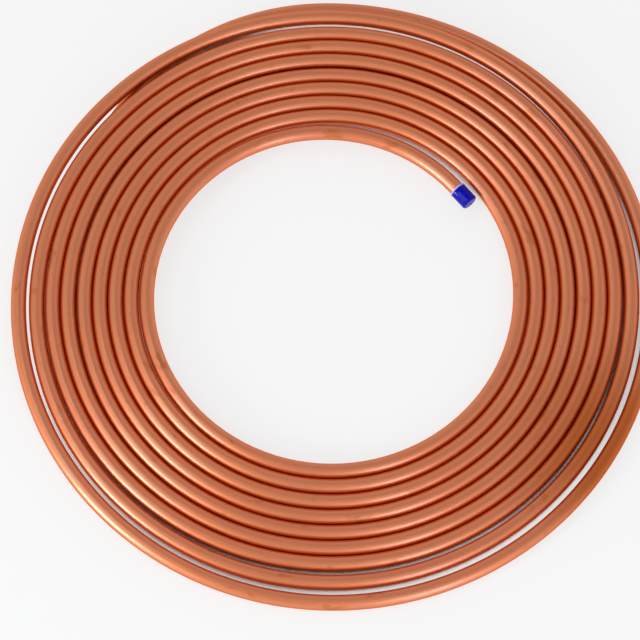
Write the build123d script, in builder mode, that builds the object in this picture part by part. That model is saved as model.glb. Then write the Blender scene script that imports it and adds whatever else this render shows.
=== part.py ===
"""Flat coil of soft copper tube: one tube wound outwards in a single layer, a plastic cap on each end.

The winding is a chain of tangent arcs. At every bend the radius grows a little and the arc's centre
steps back by as much, so the tube runs on smoothly and each turn lies against the one inside it.
The last stretch dips below the layer and tucks in under its neighbour. The coil rests on that tail
and on the far rim, so it lies tipped by about two degrees. Millimetres, floor at Z = 0.
"""
from build123d import *
import os
from math import asin, cos, degrees, radians

# Tube: five eighths of an inch by fifty feet
TUBE_OD = 15.875
TUBE_WALL = 1.02
TUBE_LENGTH = 15240

# Winding, on the tube's centreline
START_ANGLE = 40
START_RADIUS = 182.2
TURN_GAP = 0.35
BENDS_PER_TURN = 6

# Slack: radius gained or lost, against the tight winding's, after the bend of this number
SLACK = {2: 3.8, 28: 0.7, 44: 3, 45: -2.9, 47: 6.4, 48: -5.5, 50: 8.8, 51: -6.9, 53: 5.8}

# Tail: it dips over two mirrored arcs, then tucks in on a tighter one that takes the rest of the tube
DIP_BEND = 55
TUCK_RADIUS = 260
TAIL_GAP = 0.4

# Straight ends, and the caps pushed over them
END_STRAIGHT = 22
CAP_GRIP = 19.5
CAP_FIT = 0.1
CAP_WALL = 0.9
CAP_END = 1.8
CAP_NOSE = 2.4
BEAD_RISE = 0.4
BEAD_WIDTH = 1.6
BEAD_EDGE = 0.35
BORE_EDGE = 0.3

TUBE_RADIUS = TUBE_OD / 2
CAP_BORE_RADIUS = TUBE_RADIUS + CAP_FIT
CAP_RADIUS = CAP_BORE_RADIUS + CAP_WALL
BEAD_RADIUS = CAP_RADIUS + BEAD_RISE
BEND_ANGLE = 360 / BENDS_PER_TURN
UNDERSIDE_STEPS = 40
SETTLING_ROUNDS = 4
ORIGIN = Vector(0, 0, 0)


class Route:
    """The tube's centreline, walked from the inner end; it keeps the arcs as they are passed."""

    def __init__(self, point, inward, axis):
        self.point = point
        self.inward = inward
        self.axis = axis
        self.heading = inward.cross(axis)
        self.start = Plane(origin=point - self.heading * END_STRAIGHT, z_dir=-self.heading)
        self.length = END_STRAIGHT
        self.arcs = []

    def bend(self, radius, angle):
        """Walks one arc, towards the inward side."""
        turning = self.heading.cross(self.inward)
        centre = self.point + self.inward * radius
        section = Plane(origin=self.point, x_dir=self.inward, z_dir=self.heading)
        self.arcs.append((section, Axis(centre, turning), angle))
        spin = Axis(ORIGIN, turning)
        self.point = centre - self.inward.rotate(spin, angle) * radius
        self.heading = self.heading.rotate(spin, angle)
        self.inward = self.inward.rotate(spin, angle)
        self.length += radius * radians(angle)

    def wind(self):
        """Walks all the turns, the dip and the tuck."""
        radius = START_RADIUS
        number = 0
        still_to_come = radians(BEND_ANGLE + 2.5 * DIP_BEND)
        while self.length + radius * still_to_come + END_STRAIGHT < TUBE_LENGTH:
            self.bend(radius, BEND_ANGLE)
            number += 1
            radius += (TUBE_OD + TURN_GAP) / BENDS_PER_TURN + SLACK.get(number, 0)

        drop = TUBE_RADIUS + TAIL_GAP + BEAD_RADIUS
        roll = degrees(asin(drop / (2 * radius * (1 - cos(radians(DIP_BEND))))))
        self.inward = self.inward.rotate(Axis(ORIGIN, self.heading), -roll)
        self.bend(radius, DIP_BEND)
        level = self.axis.cross(self.heading).normalized()
        self.inward = level * (2 * self.inward.dot(level)) - self.inward
        self.bend(radius, DIP_BEND)

        self.inward = self.axis.cross(self.heading).normalized()
        tuck = TUBE_LENGTH - self.length - END_STRAIGHT
        self.bend(TUCK_RADIUS, degrees(tuck / TUCK_RADIUS))
        self.end = Plane(origin=self.point + self.heading * END_STRAIGHT, z_dir=self.heading)

    def underside(self, first, last):
        """Points along the tube's underside, from one arc to another."""
        points = []
        for section, turning, angle in self.arcs[first:last]:
            arm = section.origin - turning.position
            for step in range(UNDERSIDE_STEPS):
                swung = arm.rotate(Axis(ORIGIN, turning.direction), angle * step / UNDERSIDE_STEPS)
                points.append(turning.position + swung - self.axis * TUBE_RADIUS)
        return points


def floor_under(route):
    """The plane that the coil rests on, under its outer turn, the dip and the tail's cap."""
    rim = route.underside(-3 - BENDS_PER_TURN, -3)
    dip = route.underside(-3, -1)
    tail_cap = route.end.offset(BEAD_WIDTH - CAP_GRIP).origin - route.axis * BEAD_RADIUS
    dip_foot = dip[-1]
    rim_foot = max(rim, key=lambda foot: (foot - dip_foot).length + (foot - tail_cap).length)
    for _ in range(SETTLING_ROUNDS):
        normal = (rim_foot - tail_cap).cross(dip_foot - tail_cap).normalized()
        if normal.dot(route.axis) < 0:
            normal = -normal
        rim_foot = min(rim, key=normal.dot)
        dip_foot = min(dip, key=normal.dot)
    first_turn = [section.origin for section, _, _ in route.arcs[:BENDS_PER_TURN]]
    middle = sum(first_turn, ORIGIN) * (1 / BENDS_PER_TURN)
    foot = middle + route.axis * ((rim_foot - middle).dot(normal) / route.axis.dot(normal))
    return Plane(origin=foot, x_dir=Vector(0, 1, 0).cross(normal), z_dir=normal)


def start_of(floor):
    """The winding's start, seen from the floor plane."""
    outward = Vector(1, 0, 0).rotate(Axis.Z, START_ANGLE)
    zero = floor.to_local_coords(ORIGIN)
    return (
        floor.to_local_coords(outward * START_RADIUS),
        floor.to_local_coords(-outward) - zero,
        floor.to_local_coords(Vector(0, 0, 1)) - zero,
    )


def tube_section(plane):
    """The tube's wall, as a ring on a plane square to the tube."""
    with BuildSketch(plane) as ring:
        Circle(TUBE_RADIUS)
        Circle(TUBE_RADIUS - TUBE_WALL, mode=Mode.SUBTRACT)
    return ring.sketch


flat = Route(*start_of(Plane.XY))
flat.wind()
route = Route(*start_of(floor_under(flat)))
route.wind()

# Each stretch is made by itself; their walls and the two cut ends are then closed into one solid
with BuildPart() as copper_tube:
    first = extrude(tube_section(route.start), -END_STRAIGHT, mode=Mode.PRIVATE)
    last = extrude(tube_section(route.end), -END_STRAIGHT, mode=Mode.PRIVATE)
    skin = first.faces().filter_by(GeomType.CYLINDER) + last.faces().filter_by(GeomType.CYLINDER)
    for section, axis, angle in route.arcs:
        stretch = revolve(tube_section(section), axis, angle, mode=Mode.PRIVATE)
        skin += stretch.faces().filter_by(GeomType.TORUS)
    cut_ends = tube_section(route.start).faces() + tube_section(route.end).faces()
    add(Solid(Shell(skin + cut_ends)))


def end_cap(seat):
    """A soft cap: its closed end is on the seat plane, its sleeve covers the last of the tube."""
    with BuildPart() as cap:
        with BuildSketch(seat.offset(-CAP_GRIP)):
            Circle(CAP_RADIUS)
        extrude(amount=CAP_GRIP + CAP_END)
        nose = cap.edges().filter_by(GeomType.CIRCLE).sort_by(Axis(seat.origin, seat.z_dir))[-1]
        fillet(nose, CAP_NOSE)
        with BuildSketch(seat.offset(-CAP_GRIP)):
            Circle(BEAD_RADIUS)
        extrude(amount=BEAD_WIDTH)
        rim = cap.edges().filter_by(lambda edge: edge.geom_type == GeomType.CIRCLE and edge.radius > CAP_RADIUS)
        fillet(rim, BEAD_EDGE)
        with BuildSketch(seat):
            Circle(CAP_BORE_RADIUS)
        extrude(amount=-CAP_GRIP, mode=Mode.SUBTRACT)
        mouth = cap.edges().filter_by(GeomType.CIRCLE).group_by(Axis(seat.origin, seat.z_dir))[0]
        chamfer(mouth.sort_by(SortBy.RADIUS)[0], BORE_EDGE)
    return cap


inner_end_cap = end_cap(route.start)
outer_end_cap = end_cap(route.end)

os.makedirs("parts", exist_ok=True)
copper_tube.part.label = "copper_tube"
export_step(copper_tube.part, "parts/copper_tube.step")
inner_end_cap.part.label = "inner_end_cap"
export_step(inner_end_cap.part, "parts/inner_end_cap.step")
outer_end_cap.part.label = "outer_end_cap"
export_step(outer_end_cap.part, "parts/outer_end_cap.step")

print("tube", round(route.length + END_STRAIGHT), "mm long, in", len(route.arcs), "arcs")
print("last tuck", round(route.arcs[-1][2]), "degrees, volume", round(copper_tube.part.volume), "cubic mm")
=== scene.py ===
# %% [markdown]
# # A flat coil of soft copper tube
#
# Fifty feet of soft copper tube, five eighths of an inch across, wound flat in one layer as it leaves
# the mill, with a blue plastic cap pushed over each cut end to keep dirt out of the bore.
#
# This lesson dresses the measured model. It goes in the order a maker would: load the model, set the
# camera, walk the tube's route, draw the tube along it, mould the caps, mix the two finishes, then light
# the whole on a white table.

import bmesh
import bpy
import numpy as np
from mathutils import Matrix, Vector


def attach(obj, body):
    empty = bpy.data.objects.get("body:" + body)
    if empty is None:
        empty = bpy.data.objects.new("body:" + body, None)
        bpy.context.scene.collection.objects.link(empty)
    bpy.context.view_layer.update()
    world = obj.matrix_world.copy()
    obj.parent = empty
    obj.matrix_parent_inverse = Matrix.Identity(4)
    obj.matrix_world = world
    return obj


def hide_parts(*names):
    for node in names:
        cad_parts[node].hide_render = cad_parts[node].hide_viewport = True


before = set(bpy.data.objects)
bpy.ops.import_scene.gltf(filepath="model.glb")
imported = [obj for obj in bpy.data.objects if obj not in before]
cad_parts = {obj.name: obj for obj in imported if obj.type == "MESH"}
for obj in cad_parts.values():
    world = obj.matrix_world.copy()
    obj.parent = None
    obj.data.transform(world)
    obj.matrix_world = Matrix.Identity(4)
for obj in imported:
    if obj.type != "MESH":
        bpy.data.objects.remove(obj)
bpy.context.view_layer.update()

# %% [markdown]
# ## The camera
#
# The photograph looks down on the coil from in front, about twenty three degrees off the vertical. A
# long lens from nearly three metres keeps the turns even. The place was found by fitting the slits between
# the turns to a spiral seen in perspective. The camera looks at a point near the middle of the eye, and the
# table's Y axis stays upright in the picture.

# %% Set the camera
LOOK_AT = Vector((-0.00869, -0.02752, 0.018))
CAMERA_TILT = np.radians(22.555)
CAMERA_SWING = np.radians(3.536)
CAMERA_DISTANCE = 2.7571
LENS_MM = 149.42

back = Vector((
    np.sin(CAMERA_TILT) * np.sin(CAMERA_SWING),
    -np.sin(CAMERA_TILT) * np.cos(CAMERA_SWING),
    np.cos(CAMERA_TILT),
))
right = Vector((0, 1, 0)).cross(back).normalized()
upright = back.cross(right)
camera = bpy.data.objects.new("camera", bpy.data.cameras.new("camera"))
camera.data.lens = LENS_MM
camera.matrix_world = (
    Matrix.Translation(LOOK_AT + back * CAMERA_DISTANCE)
    @ Matrix((right, upright, back)).transposed().to_4x4()
)
bpy.context.scene.collection.objects.link(camera)
bpy.context.scene.camera = camera
print("camera at", [round(x, 3) for x in camera.matrix_world.translation])

# %% [markdown]
# ## The tube's route
#
# On the real coil the tube leaves the mill straight, and rollers bend it a little less and less tightly
# so that each turn lies against the one before. It could be drawn as a spiral from a formula, or as a
# curve through points picked by hand. A chain of tangent arcs was chosen, because two numbers make it and
# a turn can be let out by itself: six arcs to a turn, and at each joint the radius grows by a sixth of the
# tube's pitch. The measured model was made in the same way, so the two agree.
#
# The coil isn't perfect. Here and there a turn stands off a little from its neighbour, which is the slack
# below. The last stretch dips under the layer and tucks in beneath it. The dip is two mirrored arcs, rolled
# about the tube's heading just far enough to come out under the turns. The winding stops in time to leave
# tube for them, and for a tuck at least half as long as one of them.

# %% Sizes of the tube and its winding, in metres
TUBE_RADIUS = 0.015875 / 2
TUBE_WALL = 0.00102
TUBE_LENGTH = 15.24
START_RADIUS = 0.1822
START_ANGLE = np.radians(40)
TURN_GAP = 0.00035
BENDS_PER_TURN = 6
SLACK_MM = {2: 3.8, 28: 0.7, 44: 3, 45: -2.9, 47: 6.4, 48: -5.5, 50: 8.8, 51: -6.9, 53: 5.8}
DIP_BEND = np.radians(55)
TAIL_BEND = 2.5 * DIP_BEND
TUCK_RADIUS = 0.26
TAIL_GAP = 0.0004
END_STRAIGHT = 0.022
print("tube", 2000 * TUBE_RADIUS, "mm across and", TUBE_LENGTH, "m long")

# %% Sizes of a cap
CAP_GRIP = 0.0195
CAP_FIT = 0.0001
CAP_WALL = 0.0009
CAP_END = 0.0018
BEAD_RISE = 0.0004
BEAD_WIDTH = 0.0016
BORE_RADIUS = TUBE_RADIUS + CAP_FIT
CAP_RADIUS = BORE_RADIUS + CAP_WALL
BEAD_RADIUS = CAP_RADIUS + BEAD_RISE
print("cap", 2000 * CAP_RADIUS, "mm across,", 1000 * (CAP_GRIP + CAP_END), "mm long")


# %% Two helpers for directions
def unit(vector):
    """The vector's direction, one unit long."""
    return vector / np.linalg.norm(vector)


def turned(vector, axis, angle):
    """The vector, turned about an axis through the origin."""
    along_axis = axis * np.dot(axis, vector)
    return (vector - along_axis) * np.cos(angle) + np.cross(axis, vector) * np.sin(angle) + along_axis


quarter = turned(np.array([1.0, 0, 0]), np.array([0, 0, 1.0]), np.pi / 2)
print("a quarter turn of X about Z is", quarter.round(3))

# %% [markdown]
# A walker carries a point, a heading and an inward direction. One call walks one arc and leaves a
# station at least every twelve millimetres, close enough that a smooth-shaded tube shows no corners.

# %% Walk the arcs
STATION_GAP = 0.012
BEND = 2 * np.pi / BENDS_PER_TURN


class Walk:
    """The tube's centreline so far, with the walker at its far end."""

    def __init__(self):
        outward = np.array([np.cos(START_ANGLE), np.sin(START_ANGLE), 0])
        self.up = np.array([0, 0, 1.0])
        self.inward = -outward
        self.heading = np.cross(self.inward, self.up)
        self.point = START_RADIUS * outward
        self.stations = [self.point - self.heading * END_STRAIGHT, self.point]
        self.joints = []
        self.arc_starts = []
        self.length = END_STRAIGHT

    def arc(self, radius, angle):
        """Walk one arc, towards the inward side."""
        turning = unit(np.cross(self.heading, self.inward))
        centre = self.point + self.inward * radius
        arm = self.point - centre
        self.joints.append(self.point)
        self.arc_starts.append(len(self.stations))
        steps = int(np.ceil(radius * angle / STATION_GAP))
        for step in range(1, steps + 1):
            self.stations.append(centre + turned(arm, turning, angle * step / steps))
        self.point = self.stations[-1]
        self.heading = turned(self.heading, turning, angle)
        self.inward = turned(self.inward, turning, angle)
        self.length += radius * angle


print("one arc turns by", round(np.degrees(BEND)), "degrees")

# %% Wind the turns
walk = Walk()
radius = START_RADIUS
bends = 0
while walk.length + radius * (BEND + TAIL_BEND) + END_STRAIGHT < TUBE_LENGTH:
    walk.arc(radius, BEND)
    bends += 1
    radius += (2 * TUBE_RADIUS + TURN_GAP) / BENDS_PER_TURN + SLACK_MM.get(bends, 0) / 1000
turn_starts = walk.arc_starts[-BENDS_PER_TURN]
dip_starts = len(walk.stations)
print(bends, "bends, which is", round(bends / BENDS_PER_TURN, 1), "turns")

# %% Dip under the layer, and tuck in
drop = TUBE_RADIUS + TAIL_GAP + BEAD_RADIUS
roll = np.arcsin(drop / (2 * radius * (1 - np.cos(DIP_BEND))))
walk.inward = turned(walk.inward, walk.heading, -roll)
walk.arc(radius, DIP_BEND)
level = unit(np.cross(walk.up, walk.heading))
walk.inward = 2 * level * np.dot(walk.inward, level) - walk.inward
walk.arc(radius, DIP_BEND)
dip_ends = len(walk.stations)
walk.inward = unit(np.cross(walk.up, walk.heading))
walk.arc(TUCK_RADIUS, (TUBE_LENGTH - walk.length - END_STRAIGHT) / TUCK_RADIUS)
walk.stations.append(walk.point + walk.heading * END_STRAIGHT)
print("walked", round(walk.length + END_STRAIGHT, 3), "m, the tail", round(1000 * drop, 1), "mm down")

# %% [markdown]
# The tucked tail lifts one side, so the coil lies on the table tipped by about two degrees. It stands on
# three feet: the far rim of the outer turn, the bottom of the dip, and the cap on the tail. Each round
# lays a plane through the three and looks again for what is lowest on it.

# %% Lay the coil on the table
SETTLING_ROUNDS = 4
underside = np.array(walk.stations) - walk.up * TUBE_RADIUS
outer_turn = underside[turn_starts:dip_starts]
dip = underside[dip_starts:dip_ends]
cap_foot = walk.stations[-1] - walk.heading * (CAP_GRIP - BEAD_WIDTH) - walk.up * BEAD_RADIUS
dip_foot = dip[-1]
reach = np.linalg.norm(outer_turn - dip_foot, axis=1) + np.linalg.norm(outer_turn - cap_foot, axis=1)
rim_foot = outer_turn[reach.argmax()]
for settling in range(SETTLING_ROUNDS):
    normal = unit(np.cross(rim_foot - cap_foot, dip_foot - cap_foot))
    normal = normal * np.sign(np.dot(normal, walk.up))
    rim_foot = outer_turn[(outer_turn @ normal).argmin()]
    dip_foot = dip[(dip @ normal).argmin()]
print("tipped by", round(float(np.degrees(np.arccos(normal[2]))), 2), "degrees")

# %% Move the route into the table's frame
middle = np.mean(walk.joints[:BENDS_PER_TURN], axis=0)
foot = middle + walk.up * np.dot(rim_foot - middle, normal) / np.dot(walk.up, normal)
across = unit(np.cross([0, 1, 0], normal))
to_table = np.array([across, np.cross(normal, across), normal])
stations = (np.array(walk.stations) - foot) @ to_table.T
print(len(stations), "stations, the lowest", round(1000 * (stations[:, 2].min() - TUBE_RADIUS), 2), "mm up")

# %% [markdown]
# ## The tube
#
# A mill draws the tube through a die, and it keeps the die's fine lengthwise lines. Bending it over
# rollers leaves it a hair uneven. It could be lofted in mesh code ring by ring, but Geometry Nodes sweep
# a circle along a curve by themselves, and keep the sizes as named inputs that can be changed later. The
# bore is hidden under the caps, so it gets a third of the sides of the outside.
#
# The tree also stores, for each point of the wall, where it was before the tube was bent. The copper
# finish reads that, so the die's lines follow the tube round all its turns.

# %% A helper that adds a node and plugs its inputs
def add_node(tree, kind, inputs=None, **settings):
    """A node of that kind. An input is a plain value, or the socket that feeds it."""
    node = tree.nodes.new(kind)
    for name, value in settings.items():
        setattr(node, name, value)
    for key, value in (inputs or {}).items():
        if isinstance(value, bpy.types.NodeSocket):
            tree.links.new(value, node.inputs[key])
        else:
            node.inputs[key].default_value = value
    return node


print("node helper ready")

# %% Name the sweep's inputs
SIDES = 48
BORE_SIDES = 16
SWAY = 0.00012
SWAY_LENGTH = 0.09
SEED = 7.0
sweep = bpy.data.node_groups.new("Tube drawn along a route", "GeometryNodeTree")
sweep.interface.new_socket("Route", in_out="INPUT", socket_type="NodeSocketGeometry")
for name, kind, value in [
    ("Outside Radius", "NodeSocketFloat", TUBE_RADIUS),
    ("Wall", "NodeSocketFloat", TUBE_WALL),
    ("Sides", "NodeSocketInt", SIDES),
    ("Bore Sides", "NodeSocketInt", BORE_SIDES),
    ("Sway", "NodeSocketFloat", SWAY),
    ("Sway Length", "NodeSocketFloat", SWAY_LENGTH),
    ("Seed", "NodeSocketFloat", SEED),
]:
    sweep.interface.new_socket(name, in_out="INPUT", socket_type=kind).default_value = value
sweep.interface.new_socket("Finish", in_out="INPUT", socket_type="NodeSocketMaterial")
sweep.interface.new_socket("Tube", in_out="OUTPUT", socket_type="NodeSocketGeometry")
print("sweep inputs:", [socket.name for socket in sweep.interface.items_tree])

# %% The rail: the route as a curve that knows its own length
given = sweep.nodes.new("NodeGroupInput").outputs
rail = add_node(sweep, "GeometryNodeMeshToCurve", {"Mesh": given["Route"]})
rail = add_node(sweep, "GeometryNodeSetCurveNormal", {"Curve": rail.outputs["Curve"]}, mode="Z_UP")
run = add_node(sweep, "GeometryNodeSplineParameter").outputs["Length"]
rail = add_node(
    sweep, "GeometryNodeStoreNamedAttribute",
    {"Geometry": rail.outputs["Curve"], "Name": "along", "Value": run},
    data_type="FLOAT", domain="POINT",
)
print("rail made with", len(sweep.nodes), "nodes")


# %% One wall: a circle swept along the rail
def swept_wall(radius, sides):
    ring = add_node(
        sweep, "GeometryNodeCurvePrimitiveCircle", {"Resolution": sides, "Radius": radius}
    )
    place = add_node(sweep, "GeometryNodeInputPosition").outputs["Position"]
    ring = add_node(
        sweep, "GeometryNodeStoreNamedAttribute",
        {"Geometry": ring.outputs["Curve"], "Name": "across", "Value": place},
        data_type="FLOAT_VECTOR", domain="POINT",
    )
    wall = add_node(
        sweep, "GeometryNodeCurveToMesh",
        {"Curve": rail.outputs["Geometry"], "Profile Curve": ring.outputs["Geometry"]},
    )
    return wall.outputs["Mesh"]


inside_radius = add_node(
    sweep, "ShaderNodeMath", {0: given["Outside Radius"], 1: given["Wall"]}, operation="SUBTRACT"
).outputs[0]
outside = swept_wall(given["Outside Radius"], given["Sides"])
bore = swept_wall(inside_radius, given["Bore Sides"])
inside = add_node(sweep, "GeometryNodeFlipFaces", {"Mesh": bore}).outputs["Mesh"]
walls = add_node(sweep, "GeometryNodeJoinGeometry")
sweep.links.new(inside, walls.inputs["Geometry"])
sweep.links.new(outside, walls.inputs["Geometry"])
print("two walls, facing away from the metal between them")

# %% Sway: the slight unevenness left by the rollers
along = add_node(
    sweep, "GeometryNodeInputNamedAttribute", {"Name": "along"}, data_type="FLOAT"
).outputs["Attribute"]
waves = add_node(
    sweep, "ShaderNodeMath", {0: along, 1: given["Sway Length"]}, operation="DIVIDE"
).outputs[0]
waves = add_node(sweep, "ShaderNodeMath", {0: waves, 1: given["Seed"]}, operation="ADD").outputs[0]
noise = add_node(sweep, "ShaderNodeTexNoise", {"W": waves, "Detail": 2.0}, noise_dimensions="1D")
centred = add_node(
    sweep, "ShaderNodeVectorMath", {0: noise.outputs["Color"], 1: (0.5, 0.5, 0.5)}, operation="SUBTRACT"
).outputs[0]
shift = add_node(
    sweep, "ShaderNodeVectorMath", {0: centred, "Scale": given["Sway"]}, operation="SCALE"
).outputs[0]
swayed = add_node(
    sweep, "GeometryNodeSetPosition", {"Geometry": walls.outputs["Geometry"], "Offset": shift}
).outputs["Geometry"]
print("sway of", sweep.interface.items_tree["Sway"].default_value * 1000, "mm")

# %% Keep each point's place on the straight tube, then finish
spot = add_node(
    sweep, "GeometryNodeInputNamedAttribute", {"Name": "across"}, data_type="FLOAT_VECTOR"
).outputs["Attribute"]
lengthwise = add_node(sweep, "ShaderNodeCombineXYZ", {"Z": along}).outputs["Vector"]
straight = add_node(sweep, "ShaderNodeVectorMath", {0: spot, 1: lengthwise}, operation="ADD").outputs[0]
kept = add_node(
    sweep, "GeometryNodeStoreNamedAttribute",
    {"Geometry": swayed, "Name": "straight", "Value": straight},
    data_type="FLOAT_VECTOR", domain="POINT",
).outputs["Geometry"]
smooth = add_node(sweep, "GeometryNodeSetShadeSmooth", {"Geometry": kept}).outputs["Geometry"]
real = add_node(sweep, "GeometryNodeRealizeInstances", {"Geometry": smooth}).outputs["Geometry"]
done = add_node(
    sweep, "GeometryNodeSetMaterial", {"Geometry": real, "Material": given["Finish"]}
).outputs["Geometry"]
tree_end = sweep.nodes.new("NodeGroupOutput")
sweep.links.new(done, tree_end.inputs["Tube"])
print("sweep tree has", len(sweep.nodes), "nodes")

# %% [markdown]
# ## The copper finish
#
# New copper tube is bright but not a mirror. The annealing oven leaves the metal satin, a warm orange
# brown, and over it lies a thin clear film of drawing oil. The streaks on real tube look pale pink and not
# orange, because it is the film that mirrors the lamps, while the metal below gives the body colour. One
# shiny metal would tint every streak orange. So this finish has two layers in one shader: a rough metal,
# and a smoother coat over it.
#
# At a shallow angle the film fades and the metal's tint goes brown, so the tube's edges and the slits
# between the turns come out deep red.

# %% Start the copper
EDGE_TINT = (0.85, 0.5, 0.35, 1)
FILM_INDEX = 2.18
FILM_ROUGHNESS = 0.335
copper = bpy.data.materials.new("bright annealed copper")
copper.use_nodes = True
copper_tree = copper.node_tree
copper_shader = copper_tree.nodes["Principled BSDF"]
copper_shader.inputs["Metallic"].default_value = 1.0
copper_shader.inputs["Specular Tint"].default_value = EDGE_TINT
copper_shader.inputs["Coat IOR"].default_value = FILM_INDEX
copper_shader.inputs["Coat Roughness"].default_value = FILM_ROUGHNESS
print("copper started, film of index", FILM_INDEX)

# %% [markdown]
# The marks on the metal come from noise. It is read on the straight tube's coordinates, the ones that the
# sweep stored, and stretched along the tube: long for the die's lines, short for scuffs and stains. Read
# on plain coordinates, the same noise would cut across the tube like wood grain across a bent board.


# %% Three helpers for marks on a drawn or moulded piece
def noise_along(tree, scale, lengthwise, detail, seed):
    """Noise of scale grains to the metre across the piece, and grains lengthwise times as long along it."""
    straight_place = add_node(tree, "ShaderNodeAttribute", attribute_name="straight").outputs["Vector"]
    place = add_node(
        tree, "ShaderNodeMapping",
        {"Vector": straight_place, "Location": (seed, 0, 0), "Scale": (scale, scale, scale / lengthwise)},
    ).outputs["Vector"]
    return add_node(
        tree, "ShaderNodeTexNoise", {"Vector": place, "Scale": 1.0, "Detail": detail, "Roughness": 0.55}
    ).outputs["Fac"]


def spread(tree, value, low, high, to_low=0.0, to_high=1.0):
    """A value between low and high, stretched to another range and held inside it."""
    return add_node(
        tree, "ShaderNodeMapRange",
        {"Value": value, "From Min": low, "From Max": high, "To Min": to_low, "To Max": to_high},
        clamp=True,
    ).outputs["Result"]


def blend_colours(tree, share, first, second):
    """The first colour, going over to the second where the share is one."""
    return add_node(
        tree, "ShaderNodeMix", {"Factor": share, 6: first, 7: second}, data_type="RGBA"
    ).outputs[2]


blooms = noise_along(copper_tree, scale=12, lengthwise=5, detail=5.0, seed=3.1)
die_lines = noise_along(copper_tree, scale=1500, lengthwise=70, detail=4.0, seed=11.7)
scuffs = noise_along(copper_tree, scale=160, lengthwise=2.5, detail=6.0, seed=21.3)
stains = noise_along(copper_tree, scale=60, lengthwise=1.8, detail=2.0, seed=5.9)
print("four noises on the copper")

# %% [markdown]
# Where the coil was carried, at its right front edge, fingers have turned the outer turns a deeper orange.
# That mark belongs to a place on the coil and not to a length of tube, so it is measured as a distance
# from a spot on the table. Ragged noise keeps it from looking like a painted disc.

# %% Where the coil was handled
HANDLED_SPOT = (0.31, -0.19, 0.01)
HANDLED_REACH = 0.18
RAGGED_BY = 0.08
on_table = add_node(copper_tree, "ShaderNodeTexCoord").outputs["Object"]
away = add_node(
    copper_tree, "ShaderNodeVectorMath", {0: on_table, 1: HANDLED_SPOT}, operation="DISTANCE"
).outputs["Value"]
ragged = add_node(
    copper_tree, "ShaderNodeMath", {0: spread(copper_tree, blooms, 0.3, 0.7, 0.0, RAGGED_BY), 1: away},
    operation="ADD",
).outputs[0]
handled = spread(copper_tree, ragged, HANDLED_REACH, 0.5 * HANDLED_REACH)
print("handled within", HANDLED_REACH, "m of", HANDLED_SPOT)

# %% Copper's colour
BRIGHT_COPPER = (0.83, 0.19, 0.012, 1)
ORANGE_BLOOM = (0.77, 0.15, 0.005, 1)
HANDLED_ORANGE = (0.62, 0.125, 0.006, 1)
DIE_LINE = (0.52, 0.10, 0.006, 1)
STAIN = (0.66, 0.145, 0.006, 1)
BROWN_SPOT = (0.45, 0.08, 0.005, 1)
tone = blend_colours(copper_tree, spread(copper_tree, blooms, 0.45, 0.75), BRIGHT_COPPER, ORANGE_BLOOM)
tone = blend_colours(copper_tree, handled, tone, HANDLED_ORANGE)
tone = blend_colours(copper_tree, spread(copper_tree, die_lines, 0.48, 0.72, 0.0, 0.5), tone, DIE_LINE)
stained = spread(copper_tree, stains, 0.66, 0.74)
tone = blend_colours(copper_tree, stained, tone, STAIN)
tone = blend_colours(copper_tree, spread(copper_tree, scuffs, 0.66, 0.82, 0.0, 0.7), tone, BROWN_SPOT)
copper_tree.links.new(tone, copper_shader.inputs["Base Color"])
print("bright copper", BRIGHT_COPPER[:3], "blooming to", ORANGE_BLOOM[:3])

# %% The film: full where the metal faces you, thin at the edges and where it was handled or stained
facing = add_node(copper_tree, "ShaderNodeLayerWeight", {"Blend": 0.5}).outputs["Facing"]
film = spread(copper_tree, facing, 0.25, 0.8, 1.0, 0.0)
for marks, least in ((handled, 0.25), (stained, 0.6)):
    left_on = spread(copper_tree, marks, 0.0, 1.0, 1.0, least)
    film = add_node(copper_tree, "ShaderNodeMath", {0: film, 1: left_on}, operation="MULTIPLY").outputs[0]
copper_tree.links.new(film, copper_shader.inputs["Coat Weight"])
print("film laid over the metal")

# %% Copper's roughness and relief
RELIEF = 0.000004
duller = add_node(
    copper_tree, "ShaderNodeMath",
    {
        0: spread(copper_tree, blooms, 0.3, 0.75, 0.44, 0.52),
        1: spread(copper_tree, scuffs, 0.5, 0.8, 0.0, 0.04),
    },
    operation="ADD",
).outputs[0]
copper_tree.links.new(duller, copper_shader.inputs["Roughness"])
lined = add_node(
    copper_tree, "ShaderNodeBump", {"Height": die_lines, "Distance": RELIEF, "Strength": 0.6}
).outputs["Normal"]
copper_tree.links.new(lined, copper_shader.inputs["Normal"])
print("copper has", len(copper_tree.nodes), "nodes")

# %% [markdown]
# ## Draw the tube
#
# The stations become a bare line of vertices and edges, and the modifier turns it into the tube. Its
# inputs are set by identifier before the object is first evaluated. The result is then kept as a plain
# mesh and the line thrown away.

# %% Sweep the tube
line = bpy.data.meshes.new("route line")
line.from_pydata(stations.tolist(), [(i, i + 1) for i in range(len(stations) - 1)], [])
route_line = bpy.data.objects.new("route line", line)
bpy.context.scene.collection.objects.link(route_line)
modifier = route_line.modifiers.new("draw the tube", "NODES")
modifier.node_group = sweep
sockets = {s.name: s.identifier for s in sweep.interface.items_tree if s.in_out == "INPUT"}
modifier[sockets["Outside Radius"]] = TUBE_RADIUS
modifier[sockets["Wall"]] = TUBE_WALL
modifier[sockets["Sides"]] = SIDES
modifier[sockets["Bore Sides"]] = BORE_SIDES
modifier[sockets["Sway"]] = SWAY
modifier[sockets["Sway Length"]] = SWAY_LENGTH
modifier[sockets["Seed"]] = SEED
modifier[sockets["Finish"]] = copper
drawn = bpy.data.meshes.new_from_object(route_line.evaluated_get(bpy.context.evaluated_depsgraph_get()))
bpy.data.objects.remove(route_line)
print("drawn tube:", len(drawn.vertices), "vertices,", len(drawn.polygons), "faces")

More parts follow.
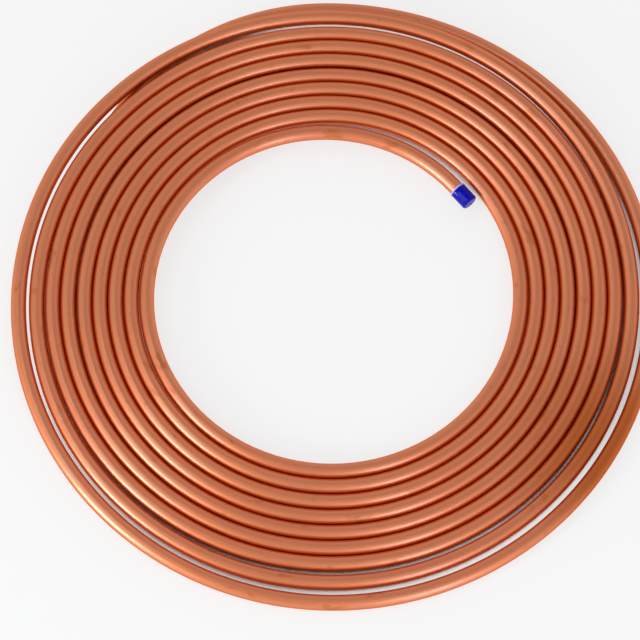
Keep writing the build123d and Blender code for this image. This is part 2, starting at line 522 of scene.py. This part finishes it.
# %% Close the two cut ends
shell = bmesh.new()
shell.from_mesh(drawn)
open_edges = [edge for edge in shell.edges if edge.is_boundary]
for end in (Vector(stations[0]), Vector(stations[-1])):
    rings = [edge for edge in open_edges if (edge.verts[0].co - end).length < 2 * TUBE_RADIUS]
    bmesh.ops.bridge_loops(shell, edges=rings)
still_open = sum(edge.is_boundary for edge in shell.edges)
shell.to_mesh(drawn)
volume = shell.calc_volume(signed=True)
shell.free()
tube = bpy.data.objects.new("wound_tube", drawn)
bpy.context.scene.collection.objects.link(tube)
print("open edges left:", still_open, "copper:", round(volume * 1e6, 1), "cubic cm")

# %% [markdown]
# ## The caps
#
# Each cap is a soft moulded cup: a thin sleeve that tapers slightly, a rounded closed end with the
# shallow mark of the moulding gate, and a bead round the mouth that keeps it from splitting. A lathe
# would turn this shape, so it is made as a turned profile: a list of depths and radii, spun round the
# tube's axis and joined ring to ring. Depth is measured outwards from the tube's cut end.

# %% The cap's profile, from the middle of its closed end round to its bore
NOSE = 0.0024
NOSE_STEPS = np.radians([0, 12, 24, 36, 48, 60, 72, 84])
GATE_DEPTH = 0.0003
GATE_FLOOR_RADIUS = 0.0009
GATE_LIP_RADIUS = 0.0013
GATE_RADIUS = 0.0016
FLAT_RADIUS = 0.0030
TAPER = 0.00003
BEAD_EDGE = 0.00035
CORNER = 0.0001
MOUTH_EDGE = 0.0003
SEAT_EDGE = 0.0004
nose_back = CAP_END - NOSE
bead_back = -CAP_GRIP + BEAD_WIDTH
gate = [
    (CAP_END - GATE_DEPTH, 0.0),
    (CAP_END - GATE_DEPTH, GATE_FLOOR_RADIUS),
    (CAP_END - CORNER, GATE_LIP_RADIUS),
    (CAP_END, GATE_RADIUS),
]
nose = [(CAP_END, FLAT_RADIUS)]
nose += [(nose_back + NOSE * np.cos(t), CAP_RADIUS - NOSE + NOSE * np.sin(t)) for t in NOSE_STEPS]
sleeve = [
    (nose_back, CAP_RADIUS - TAPER),
    (-0.004, CAP_RADIUS - 0.00002),
    (-0.012, CAP_RADIUS),
    (bead_back + 0.0006, CAP_RADIUS),
    (bead_back + 0.0002, CAP_RADIUS + 0.00008),
]
bead = [
    (bead_back, CAP_RADIUS + 0.0002),
    (bead_back - CORNER, BEAD_RADIUS - CORNER),
    (bead_back - BEAD_EDGE, BEAD_RADIUS),
    (-CAP_GRIP + BEAD_EDGE, BEAD_RADIUS),
    (-CAP_GRIP + CORNER, BEAD_RADIUS - CORNER),
    (-CAP_GRIP, BEAD_RADIUS - BEAD_EDGE),
]
cap_bore = [
    (-CAP_GRIP, BORE_RADIUS + MOUTH_EDGE),
    (-CAP_GRIP + MOUTH_EDGE, BORE_RADIUS),
    (-SEAT_EDGE, BORE_RADIUS),
    (0.0, BORE_RADIUS - SEAT_EDGE),
    (0.0, 0.0),
]
profile = gate + nose + sleeve + bead + cap_bore
print("cap profile of", len(profile), "points")


# %% Turn the profile round the tube's axis
CAP_SIDES = 96
SPOKES = np.arange(CAP_SIDES) * 2 * np.pi / CAP_SIDES


def turned_cap(name, end, outward):
    """A cap whose closed end covers the tube's cut end, and faces outward."""
    side = unit(np.cross(outward, [0, 0, 1]))
    rise = np.cross(side, outward)
    cup = bmesh.new()
    unrolled = cup.verts.layers.float_vector.new("straight")
    rings = []
    for depth, radius in profile:
        ring = []
        for turn in SPOKES if radius else SPOKES[:1]:
            spoke = radius * (np.cos(turn) * side + np.sin(turn) * rise)
            vert = cup.verts.new(end + outward * depth + spoke)
            vert[unrolled] = (radius * np.cos(turn), radius * np.sin(turn), depth)
            ring.append(vert)
        rings.append(ring)
    for near, far in zip(rings, rings[1:]):
        for i in range(CAP_SIDES):
            j = (i + 1) % CAP_SIDES
            corners = [near[i % len(near)], far[i % len(far)], far[j % len(far)], near[j % len(near)]]
            cup.faces.new(list(dict.fromkeys(corners))).smooth = True
    bmesh.ops.recalc_face_normals(cup, faces=cup.faces)
    mesh = bpy.data.meshes.new(name)
    cup.to_mesh(mesh)
    cup.free()
    cap = bpy.data.objects.new(name, mesh)
    bpy.context.scene.collection.objects.link(cap)
    return cap


inner_cap = turned_cap("cap_on_inner_end", stations[0], unit(stations[0] - stations[1]))
outer_cap = turned_cap("cap_on_outer_end", stations[-1], unit(stations[-1] - stations[-2]))
print("caps made with", len(inner_cap.data.polygons), "faces each")

# %% [markdown]
# ## The cap's plastic
#
# Soft blue plastic, coloured right through and glossy from the mould, so a lamp draws one thin bright line
# along it. The bead round the mouth is painted a pale lilac, a painted highlight where its rim catches the
# light. The rest is deep blue with the fine grain of the mould and a little dust. The copper's helpers make
# its marks too, because the cap stored its own straight coordinates when it was turned.

# %% Mix the blue plastic
plastic = bpy.data.materials.new("soft blue plastic")
plastic.use_nodes = True
plastic_tree = plastic.node_tree
plastic_shader = plastic_tree.nodes["Principled BSDF"]
plastic_shader.inputs["Specular IOR Level"].default_value = 0.18
cap_place = add_node(plastic_tree, "ShaderNodeAttribute", attribute_name="straight").outputs["Vector"]
depth = add_node(plastic_tree, "ShaderNodeSeparateXYZ", {"Vector": cap_place}).outputs["Z"]
grain = noise_along(plastic_tree, scale=1800, lengthwise=1, detail=3.0, seed=1.7)
dust = noise_along(plastic_tree, scale=420, lengthwise=1.5, detail=4.0, seed=9.1)
print("grain and dust on the plastic")

# %% The plastic's colour and gloss
DEEP_BLUE = (0.0, 0.0, 0.40, 1)
DUSTY_BLUE = (0.006, 0.006, 0.38, 1)
PAINTED_LILAC_HIGHLIGHT = (0.66, 0.56, 0.90, 1)
# The bead is painted pale lilac: a painted highlight on its rim.
bead_highlight_share = spread(plastic_tree, depth, bead_back + 0.0004, bead_back - 0.0002, 0.0, 0.9)
blue = blend_colours(plastic_tree, spread(plastic_tree, dust, 0.55, 0.8, 0.0, 0.4), DEEP_BLUE, DUSTY_BLUE)
blue = blend_colours(plastic_tree, bead_highlight_share, blue, PAINTED_LILAC_HIGHLIGHT)
plastic_tree.links.new(blue, plastic_shader.inputs["Base Color"])
plastic_tree.links.new(spread(plastic_tree, dust, 0.4, 0.8, 0.08, 0.2), plastic_shader.inputs["Roughness"])
grained = add_node(plastic_tree, "ShaderNodeBump", {"Height": grain, "Distance": RELIEF, "Strength": 0.4})
plastic_tree.links.new(grained.outputs["Normal"], plastic_shader.inputs["Normal"])
print("plastic has", len(plastic_tree.nodes), "nodes")

# %% [markdown]
# ## Hand the pieces over
#
# The measured model has one solid for each of the three pieces, and it stays as it is, for weight and
# contact. Each drawn piece stands for its solid, takes its slot of material, and rides on the one body that
# the coil has. They could be laid over the solids instead, but then each surface would be there twice.

# %% Hand the pieces to the frame
for piece, node, finish, slot in [
    (tube, "copper_tube", copper, "copper"),
    (inner_cap, "inner_end_cap", plastic, "blue_cap"),
    (outer_cap, "outer_end_cap", plastic, "blue_cap"),
]:
    if not piece.data.materials:
        piece.data.materials.append(finish)
    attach(piece, "root")
    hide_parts(node)
    print(piece.name, "stands for", node)

# %% [markdown]
# ## The table
#
# The photograph's ground is plain white. A lit table never quite gets there without so much lamp light
# that the copper burns out, so the table glows a little by itself. It glows only for the rays that look at
# it, straight from the camera or mirrored in the metal, which is what the light path node tells apart, so
# it throws no light of its own. In the slits between the turns the glow is held back and the table's colour
# is painted a dark copper brown: a painted shade, warmed to stand in for the little light that comes off
# the copper there. A slit is told from a gap by how much of the sky the table sees from there.

# %% A white table
table_finish = bpy.data.materials.new("white table")
table_finish.use_nodes = True
table_tree = table_finish.node_tree
table_shader = table_tree.nodes["Principled BSDF"]
table_shader.inputs["Roughness"].default_value = 0.9
table_shader.inputs["Specular IOR Level"].default_value = 0.1
looks = add_node(table_tree, "ShaderNodeLightPath").outputs
looked_at = add_node(
    table_tree, "ShaderNodeMath", {0: looks["Is Camera Ray"], 1: looks["Is Glossy Ray"]}, operation="ADD"
).outputs[0]
looked_at = add_node(
    table_tree, "ShaderNodeMath", {0: looked_at, 1: looks["Is Transmission Ray"]},
    operation="ADD", use_clamp=True,
).outputs[0]
print("table started")

# %% Its glow, held back in the slits
GLOW = 0.72
SHADE_REACH = 0.1
SHADE_RAYS = 24
DEEP_IN_A_SLIT = 0.1
IN_A_SLIT = 0.13
IN_A_GAP = 0.2
TABLE_WHITE = (0.98, 0.98, 0.98, 1)
PAINTED_SLIT_SHADE = (0.35, 0.07, 0.03, 1)
# The table's colour and glow follow how open each spot is: painted shade in the slits, warmed to a copper
# brown as painted bounce light from the tube.
openness = add_node(
    table_tree, "ShaderNodeAmbientOcclusion", {"Distance": SHADE_REACH}, samples=SHADE_RAYS
).outputs["AO"]
unshaded = spread(table_tree, openness, IN_A_SLIT, IN_A_GAP)
clear_of_painted_shade = spread(table_tree, openness, DEEP_IN_A_SLIT, IN_A_GAP)
white_with_painted_slit_shade = blend_colours(table_tree, clear_of_painted_shade, PAINTED_SLIT_SHADE, TABLE_WHITE)
table_tree.links.new(white_with_painted_slit_shade, table_shader.inputs["Base Color"])
glow = add_node(table_tree, "ShaderNodeMath", {0: looked_at, 1: GLOW}, operation="MULTIPLY").outputs[0]
glow = add_node(table_tree, "ShaderNodeMath", {0: glow, 1: unshaded}, operation="MULTIPLY").outputs[0]
white = add_node(table_tree, "ShaderNodeEmission", {"Color": white_with_painted_slit_shade, "Strength": 1.0}).outputs[0]
lifted = add_node(
    table_tree, "ShaderNodeMixShader", {"Fac": glow, 1: table_shader.outputs[0], 2: white}
).outputs[0]
table_tree.links.new(lifted, table_tree.nodes["Material Output"].inputs["Surface"])
print("table glows with", GLOW)

# %% Lay the table
TABLE_REACH = 30
corners = [(x * TABLE_REACH, y * TABLE_REACH, 0) for x, y in [(-1, -1), (1, -1), (1, 1), (-1, 1)]]
table_top = bpy.data.meshes.new("white_table")
table_top.from_pydata(corners, [], [(0, 1, 2, 3)])
table_top.materials.append(table_finish)
white_table = bpy.data.objects.new("white_table", table_top)
bpy.context.scene.collection.objects.link(white_table)
print("table", 2 * TABLE_REACH, "m wide")

# %% [markdown]
# ## The light
#
# A pale room lights the coil from all round, a little less from straight above, where the photograph's
# tubes are a shade darker than on their flanks. Two softboxes in a bent line on the left draw the wide
# bright streak of the photograph, and two narrow ones in front draw the thin second streak. Each was
# placed by reading, from the streak's place across the tube, which way the tube's surface faces there, and
# turning the line of sight over at that surface.

# %% The room
ROOM_AT_HORIZON = 0.8
ROOM_OVERHEAD = 0.43
room = bpy.data.worlds.new("pale room")
room.use_nodes = True
room_tree = room.node_tree
background = room_tree.nodes["Background"]
background.inputs["Color"].default_value = (1, 1, 1, 1)
sight = add_node(room_tree, "ShaderNodeTexCoord").outputs["Generated"]
height = add_node(room_tree, "ShaderNodeSeparateXYZ", {"Vector": sight}).outputs["Z"]
strength = spread(room_tree, height, 0.1, 0.95, ROOM_AT_HORIZON, ROOM_OVERHEAD)
room_tree.links.new(strength, background.inputs["Strength"])
bpy.context.scene.world = room
bpy.context.scene.view_settings.view_transform = "Standard"
print("room strength from", ROOM_OVERHEAD, "to", ROOM_AT_HORIZON)

# %% Softboxes
COOL_WHITE = (0.92, 0.96, 1.0)


def softbox(name, near, far, width, power):
    """A long lamp from one point to another, facing the coil."""
    near, far = Vector(near), Vector(far)
    middle = (near + far) / 2
    lamp = bpy.data.lights.new(name, "AREA")
    lamp.shape = "RECTANGLE"
    lamp.size = (far - near).length
    lamp.size_y = width
    lamp.energy = power
    lamp.color = COOL_WHITE
    along_lamp = (far - near).normalized()
    away = (middle - middle.dot(along_lamp) * along_lamp).normalized()
    box = bpy.data.objects.new(name, lamp)
    turn = Matrix((along_lamp, away.cross(along_lamp), away)).transposed().to_4x4()
    box.matrix_world = Matrix.Translation(middle) @ turn
    bpy.context.scene.collection.objects.link(box)
    print(name, "in the middle of", [round(x, 2) for x in middle])


left_corner = (-2.1, -1.27, 1.3)
front_corner = (0.72, -1.7, 1.5)
softbox("low softbox on the left", (-2.5, -1.65, 0.2), left_corner, width=0.75, power=33)
softbox("high softbox on the left", left_corner, (-0.7, 0.5, 2.4), width=0.3, power=7)
softbox("narrow softbox in front", front_corner, (1.1, -2.5, 0.1), width=0.2, power=10)
softbox("narrow softbox overhead", (0.2, -0.5, 2.6), front_corner, width=0.2, power=2)
